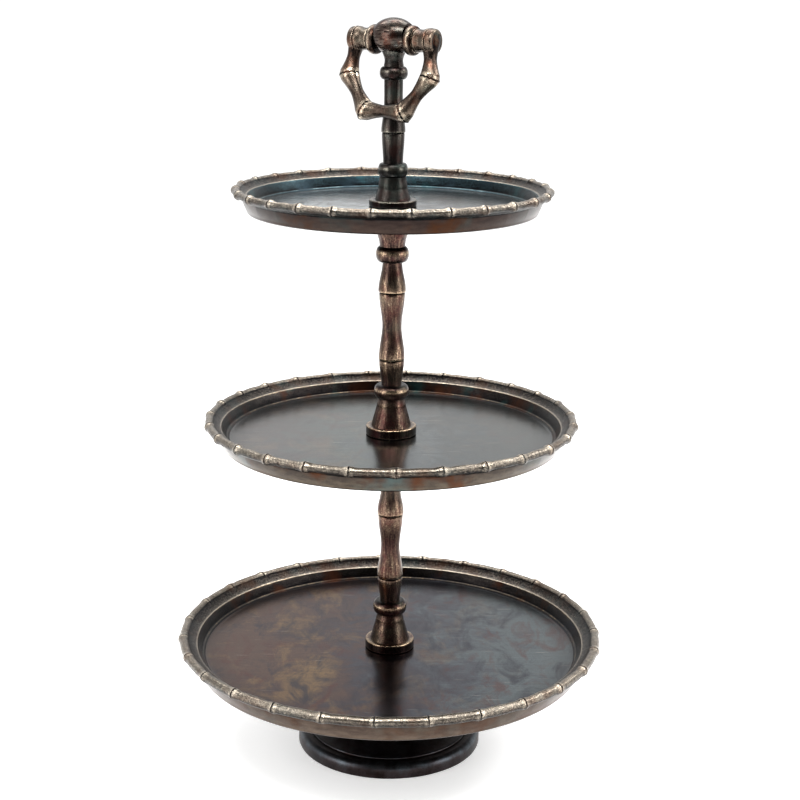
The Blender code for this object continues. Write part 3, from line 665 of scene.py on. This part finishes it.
# posts
tierPost = [disc(0.0075, 0.0206), cone(0.0165, 0.0164, 0.0118), sweep(0.0065, 0.0118, 0.0105),
            bead(0.0112, 0.0102, 0.0141), sweep(0.0200, 0.0083, 0.0103),
            groove(0.0016, 0.0103, 0.0107), sweep(0.0270, 0.0107, 0.0080),
            sweep(0.0270, 0.0080, 0.0105), groove(0.0016, 0.0105, 0.0112),
            sweep(0.0240, 0.0112, 0.0080), bead(0.0127, 0.0092, 0.0133),
            sweep(0.0210, 0.0103, 0.0150), disc(0.0050, 0.0158)]
handlePost = [disc(0.0050, 0.0190), cone(0.0090, 0.0142, 0.0114), sweep(0.0090, 0.0114, 0.0105),
              bead(0.0106, 0.0090, 0.0118), sweep(0.0230, 0.0079, 0.0090),
              groove(0.0014, 0.0090, 0.0095, 0.0008), sweep(0.0220, 0.0095, 0.0074),
              sweep(0.0185, 0.0074, 0.0074), bead(0.0100, 0.0074, 0.0110),
              sweep(0.0045, 0.0078, 0.0072), sweep(0.0077, 0.0072, 0.0092)]
tapping = {"radius": 0.0043, "depth": 0.0190}  # the threaded hole in each post's end
postSteps = 96
waver = {"post": 0.00012, "handle": 0.00010, "foot": 0.00020, "reach": 0.007, "footReach": 0.018,
         "from": 0.005}  # nearer the axis than this, the bores stay true


def postFoot():
    return [(tapping["radius"], 0.0, 0.2), (tapping["radius"], tapping["depth"], 0.1),
            (0.0, tapping["depth"], 0.1)]


def roughen(piece, depth, size, seed):
    # the slight waver of a hand-finished casting
    for vertex in piece.data.vertices:
        spot = vertex.co / size + Vector((seed, 0, 0))
        out = Vector((vertex.co.x, vertex.co.y, 0))
        if out.length > waver["from"]:
            vertex.co += out.normalized() * depth * noise.noise(spot)


for label, node, floor in (("lowerPostFinished", "lower_post", bottomFloor),
                           ("upperPostFinished", "upper_post", middleFloor)):
    outline, length = stackUp(tierPost)
    deep = length - tapping["depth"]
    top = [(0.0, deep, 0.1), (tapping["radius"], deep, 0.1), (tapping["radius"], length, 0.2)]
    post = spinSection(label, top + outline[::-1] + postFoot(), postSteps)
    roughen(post, waver["post"], waver["reach"], floor * 10)
    settle(post, Matrix.Translation((0, 0, floor + seatGap)))
    dress(post, node, "stand", node, postMetal)

# ball and handle post
ball = {"radius": 0.0142, "length": 0.0376, "flat": 0.0134, "pinDrop": 0.0030}
handleYaw = -32.0  # degrees: the pin's right-hand end is turned towards the front
pivot = Matrix.Translation(pinMiddle) @ Matrix.Rotation(radians(handleYaw), 4, "Z")

handleOutline, handleLength = stackUp(handlePost)
neckRadius = handleOutline[-1][0]
ballMiddle = handleLength + sqrt(ball["radius"] ** 2 - neckRadius ** 2)
neck = [(0.0, ballMiddle, 0.3), (neckRadius, ballMiddle, 0.3)]
handlePiece = spinSection("handlePostFinished", neck + handleOutline[::-1] + postFoot(), postSteps)
roughen(handlePiece, waver["handle"], waver["reach"], 4.0)
settle(handlePiece, Matrix.Translation((0, 0, topFloor + seatGap)))

bpy.ops.object.select_all(action="DESELECT")
bpy.ops.mesh.primitive_uv_sphere_add(segments=96, ring_count=48, radius=ball["radius"])
ballPiece = bpy.context.object
bpy.ops.object.mode_set(mode="EDIT")
bpy.ops.mesh.select_all(action="SELECT")
bpy.ops.transform.resize(value=(1.0, 1.0, ball["length"] / 2 / ball["radius"]))
for side in (-1, 1):
    bpy.ops.mesh.select_all(action="SELECT")
    bpy.ops.mesh.bisect(plane_co=(0, 0, side * ball["flat"]), plane_no=(0, 0, side),
                        use_fill=True, clear_outer=True)
bpy.ops.object.mode_set(mode="OBJECT")
ballWear = ballPiece.data.attributes.new("wear", "FLOAT", "POINT")
for vertex in ballPiece.data.vertices:
    ballWear.data[vertex.index].value = 0.50 - 0.4 * (abs(vertex.co.z) / ball["flat"]) ** 8
settle(ballPiece, pivot @ Matrix.Translation((0, 0, ball["pinDrop"]))
       @ Matrix.Rotation(radians(90), 4, "Y"))
joinSolid(handlePiece, ballPiece)
neckTop = topFloor + seatGap + handleLength - 0.0002  # just under the seam with the ball
for face in handlePiece.data.polygons:
    face.material_index = 1 if face.center.z > neckTop else 0
dress(handlePiece, "handle_post", "stand", "handle_post", handlePostMetal, ballMetal)

# ring handle, in the hinge's own frame: X along the pin, the ring hanging down
barrel = [bead(0.0066, 0.0096, 0.0116), groove(0.0014, 0.0092, 0.0090, 0.0010),
          sweep(0.0044, 0.0090, 0.0086), sweep(0.0060, 0.0086, 0.0098),
          groove(0.0014, 0.0098, 0.0100, 0.0006), cone(0.0034, 0.0100, 0.0095),
          dome(0.0018, 0.0095, 0.0078)]
ring = {"corners": [(0.0334, 0.0), (0.0369, -0.0280), (0.0176, -0.0553),
                    (-0.0176, -0.0553), (-0.0369, -0.0280), (-0.0334, 0.0)],
        "waist": 0.0051, "barWaist": 0.0047, "knuckle": 0.0077, "root": 0.0073,
        "overlap": 0.0003, "cut": 0.0013, "steps": 48, "fuse": 0.00040, "lip": 0.0034,
        "extra": 0.004, "sleeve": 0.86, "barrelSteps": 64}
# at rest the bottom bar leans on the front of the post, as far out as it ends behind it
restingTilt = radians((360 - hinge["range_deg"][1]) / 2)


def bambooCane(name, start, end, startRadius, endRadius, waist):
    # one cane of the ring, longer than needed at both ends so that its mitres can be cut
    axis = Vector((end[0] - start[0], 0.0, end[1] - start[1]))
    length, extra = axis.length, ring["extra"]
    section = [(0.0, -extra, 0.5)]
    for step in range(31):
        share = step / 30
        near = startRadius if share < 0.5 else endRadius
        level = -extra + (length + 2 * extra) * share
        fullness = min(1.0, abs(2 * level / length - 1) / ring["sleeve"])
        radius = waist + (near - waist) * fullness ** 1.5
        # rubbed lighter towards the knuckles; darkened towards the roots under the barrels as
        # painted shade
        knuckleRubRootShade = -0.24 if near == ring["root"] else 0.30
        section.append((radius, level, 0.36 + knuckleRubRootShade * fullness))
    section.append((0.0, length + extra, 0.5))
    piece = spinSection(name, section, ring["steps"])
    settle(piece, Matrix.Translation((start[0], 0.0, start[1]))
           @ axis.to_track_quat("Z", "Y").to_matrix().to_4x4())
    return piece


def cutMitre(piece, corner, before, after):
    # trims a cane just past the plane that halves the corner, and breaks the cut's edge
    plane = ((Vector(corner) - Vector(before)).normalized()
             + (Vector(after) - Vector(corner)).normalized()).normalized()
    normal = Vector((plane.x, 0.0, plane.y))
    point = Vector((corner[0], 0.0, corner[1])) + ring["overlap"] * normal
    alone(piece)
    bpy.ops.object.mode_set(mode="EDIT")
    bpy.ops.mesh.select_all(action="SELECT")
    bpy.ops.mesh.bisect(plane_co=point, plane_no=normal, use_fill=True, clear_outer=True)
    bpy.ops.mesh.select_all(action="DESELECT")
    bpy.ops.object.mode_set(mode="OBJECT")
    onCut = {v.index for v in piece.data.vertices if abs((v.co - point).dot(normal)) < 2e-5}
    for edge in piece.data.edges:
        edge.select = set(edge.vertices) <= onCut
    for vertex in piece.data.vertices:
        vertex.select = vertex.index in onCut
    bpy.ops.object.mode_set(mode="EDIT")
    bpy.ops.mesh.bevel(offset=ring["cut"], segments=3, profile=0.6, clamp_overlap=True)
    bpy.ops.object.mode_set(mode="OBJECT")
    wear = piece.data.attributes["wear"].data
    for vertex in piece.data.vertices:
        depth = (point - vertex.co).dot(normal)
        if depth < ring["lip"]:
            wear[vertex.index].value = 0.0 if depth < 0.55 * ring["cut"] else 0.9


corners = ring["corners"]
canes = []
for index in range(5):
    start, end = corners[index], corners[index + 1]
    part = bambooCane("ringCane", start, end, ring["root"] if index == 0 else ring["knuckle"],
                      ring["root"] if index == 4 else ring["knuckle"],
                      ring["barWaist"] if index == 2 else ring["waist"])
    if index > 0:
        cutMitre(part, start, end, corners[index - 1])
    if index < 4:
        cutMitre(part, end, start, corners[index + 2])
    canes.append(part)
barrelOutline, barrelLength = stackUp(barrel)
for side in (-1, 1):
    half = spinSection("barrel", [(0.0, barrelLength, 0.5)] + barrelOutline[::-1]
                       + [(0.0, 0.0, 0.2)], ring["barrelSteps"])
    settle(half, Matrix.Translation((side * (ball["flat"] + seatGap), 0, 0))
           @ Matrix.Rotation(radians(side * 90), 4, "Y"))
    canes.append(half)
ringPiece = canes[0]
ringPiece.name = ringPiece.data.name = "ringHandleFinished"
alone(ringPiece)
for part in canes[1:]:
    part.select_set(True)
bpy.ops.object.join()
wearFinder = kdtree.KDTree(len(ringPiece.data.vertices))
for vertex in ringPiece.data.vertices:
    wearFinder.insert(vertex.co, vertex.index)
wearFinder.balance()
castWearAndLight = [holder.value for holder in ringPiece.data.attributes["wear"].data]
# the canes and barrels are one casting: fused, with soft roots
ringPiece.data.remesh_voxel_size = ring["fuse"]
bpy.ops.object.voxel_remesh()
fields = ringPiece.data.attributes
ringWearAndLight = fields.get("wear") or fields.new("wear", "FLOAT", "POINT")
for vertex in ringPiece.data.vertices:
    ringWearAndLight.data[vertex.index].value = castWearAndLight[wearFinder.find(vertex.co)[1]]
settle(ringPiece, pivot @ Matrix.Rotation(-restingTilt, 4, "X"))
dress(ringPiece, "ring_handle", "ring", "ring_handle", ringMetal)

# foot
foot = {"radius": 0.0775, "ringHeight": 0.0125, "rounding": 0.0055, "shoulder": 0.0665,
        "step": 0.0015, "flare": 0.0480, "neck": 0.0280, "neckHeight": 0.0040, "flange": 0.0420,
        "flangeHeight": 0.0131, "flangeEdge": 0.0070, "wall": 0.0040, "ceiling": 0.0071,
        "bore": 0.0043, "chamfer": 0.0012, "steps": 144}


def flareLine(growth, parts):
    top = foot["ringHeight"] + foot["step"] + foot["flare"]
    across = foot["shoulder"] - foot["neck"] + growth
    down = foot["flare"] + growth
    turns = [pi / 2 * step / parts for step in range(parts + 1)]
    return [(foot["shoulder"] - across * cos(t), top - down * sin(t), 0.45) for t in turns]


def footSection():
    top = (foot["ringHeight"] + foot["step"] + foot["flare"] + foot["neckHeight"]
           + foot["flangeHeight"])
    turns = [pi / 2 * step / 8 for step in range(9)]
    middle = (foot["radius"] - foot["rounding"], foot["ringHeight"] - foot["rounding"])
    rounded = [(middle[0] + foot["rounding"] * sin(t), middle[1] + foot["rounding"] * cos(t),
                0.45 + 0.2 * sin(2 * t)) for t in turns]
    edge, flange = foot["chamfer"], foot["flange"]
    outside = [(foot["bore"], top, 0.3), (flange - edge, top, 0.4),
               (flange - 0.3 * edge, top - 0.3 * edge, 0.7), (flange, top - edge, 0.6),
               (flange, top - foot["flangeEdge"] + 0.5 * edge, 0.5),
               (flange - 0.4 * edge, top - foot["flangeEdge"], 0.5),
               (foot["neck"] + 0.002, top - foot["flangeHeight"] + 0.0008, 0.3),
               (foot["neck"], top - foot["flangeHeight"], 0.2), *flareLine(0.0, 28)[:-1],
               (foot["shoulder"] - 0.0002, foot["ringHeight"] + foot["step"], 0.55),
               (foot["shoulder"] + 0.0006, foot["ringHeight"] + foot["step"] - 0.0003, 0.62),
               (foot["shoulder"] + 0.0008, foot["ringHeight"] + 0.0006, 0.35),
               (foot["shoulder"] + 0.0009, foot["ringHeight"] + 0.0001, 0.05),
               (foot["shoulder"] + 0.0022, foot["ringHeight"], 0.35), *rounded,
               (foot["radius"], edge, 0.35), (foot["radius"] - 0.3 * edge, 0.3 * edge, 0.5),
               (foot["radius"] - edge, 0.0, 0.3)]
    hollow = [(foot["shoulder"] + 0.0008, 0.0, 0.2), (foot["shoulder"], 0.0008, 0.2),
              *flareLine(foot["wall"], 28)[::-1][1:],
              (foot["neck"] - foot["wall"], top - foot["ceiling"], 0.15),
              (foot["bore"], top - foot["ceiling"], 0.15), (foot["bore"], top, 0.3)]
    return outside + hollow


footPiece = spinSection("footFinished", footSection(), foot["steps"])
roughen(footPiece, waver["foot"], waver["footReach"], 8.0)
dress(footPiece, "foot", "stand", "foot", footMetal)

# fastenings, kept as they are with their own metal and fibre
zinc, fibre = zincSteel(), vulcanisedFibre()
for node, finish in (("foot_bolt", zinc), ("foot_washer", zinc), ("foot_lock_washer", zinc),
                     ("middle_stud", zinc), ("top_stud", zinc), ("pivot_pin", zinc),
                     ("foot_gasket", fibre), ("middle_gasket", fibre), ("top_gasket", fibre)):
    for holder in frame["nodes"][node].material_slots:
        holder.material = finish
print("fastenings dressed")

# studio
studio = {"floorSize": 8.0, "paper": "#F4F4F3", "front": 0.06, "back": 1.05, "glow": 0.45,
          "darkTo": -0.75, "brightFrom": 0.15, "seen": 1.1, "aim": (0, 0, 0.3)}
bpy.ops.object.select_all(action="DESELECT")
bpy.ops.mesh.primitive_plane_add(size=studio["floorSize"], location=(0, 0, 0))
floorPiece = bpy.context.object
floorPiece.name = "studioFloor"
paper, tree = emptyMaterial("matPaperSweep")
endMaterial(tree, {"Base Color": toLinear(studio["paper"]), "Roughness": 0.9,
                   "Emission Color": (1, 1, 1, 1), "Emission Strength": studio["glow"]}, None)
floorPiece.data.materials.append(paper)

world = bpy.data.worlds.new("softStudio")
world.use_nodes = True
tree = world.node_tree
tree.nodes.clear()
facing = addNode(tree, "ShaderNodeTexCoord").outputs["Generated"]
axes = addNode(tree, "ShaderNodeSeparateXYZ", None, {"Vector": facing}).outputs
depth = addNode(tree, "ShaderNodeMapRange", {"interpolation_type": "SMOOTHSTEP",
                "From Min": studio["darkTo"], "From Max": studio["brightFrom"],
                "To Min": studio["front"], "To Max": studio["back"]},
                {"Value": axes["Y"]}).outputs[0]
backdrop = addNode(tree, "ShaderNodeBackground", {"Color": (1, 1, 1, 1)},
                   {"Strength": depth}).outputs[0]
white = addNode(tree, "ShaderNodeBackground", {"Color": (1, 1, 1, 1),
                "Strength": studio["seen"]}).outputs[0]
seen = addNode(tree, "ShaderNodeLightPath").outputs["Is Camera Ray"]
both = addNode(tree, "ShaderNodeMixShader", None, {0: seen, 1: backdrop, 2: white}).outputs[0]
addNode(tree, "ShaderNodeOutputWorld", None, {"Surface": both})
bpy.context.scene.world = world

softboxes = {"left": {"place": (-1.25, -0.75, 0.75), "size": (0.7, 1.5), "power": 16.0},
             "right": {"place": (1.35, -0.60, 0.80), "size": (0.7, 1.5), "power": 15.0},
             "edge": {"place": (1.4, 0.36, 1.34), "size": (0.35, 0.45), "power": 11.0},
             "top": {"place": (0.0, 0.55, 1.8), "size": (2.0, 0.7), "power": 30.0},
             "front": {"place": (0.0, -0.95, 1.75), "size": (1.5, 0.40), "power": 43.0}}
for label, box in softboxes.items():
    bpy.ops.object.light_add(type="AREA", location=box["place"])
    lamp = bpy.context.object
    lamp.name = label + "Softbox"
    lamp.data.shape = "RECTANGLE"
    lamp.data.size, lamp.data.size_y = box["size"]
    lamp.data.energy = box["power"]
    towards = Vector(studio["aim"]) - lamp.location
    lamp.rotation_euler = towards.to_track_quat("-Z", "Y").to_euler()

view = {"place": (0.0071, -1.3061, 0.6507), "pitch": 75.04, "roll": 0.5, "lens": 74.3,
        "sensor": 36.0}
bpy.ops.object.camera_add(location=view["place"])
camera = bpy.context.object
camera.name = "studioCamera"
camera.matrix_world = (Matrix.Translation(view["place"])
                       @ Matrix.Rotation(radians(view["pitch"]), 4, "X")
                       @ Matrix.Rotation(radians(view["roll"]), 4, "Z"))
camera.data.lens = view["lens"]
camera.data.sensor_width = view["sensor"]
bpy.context.scene.camera = camera
bpy.context.scene.view_settings.view_transform = "Standard"
print("studio ready")
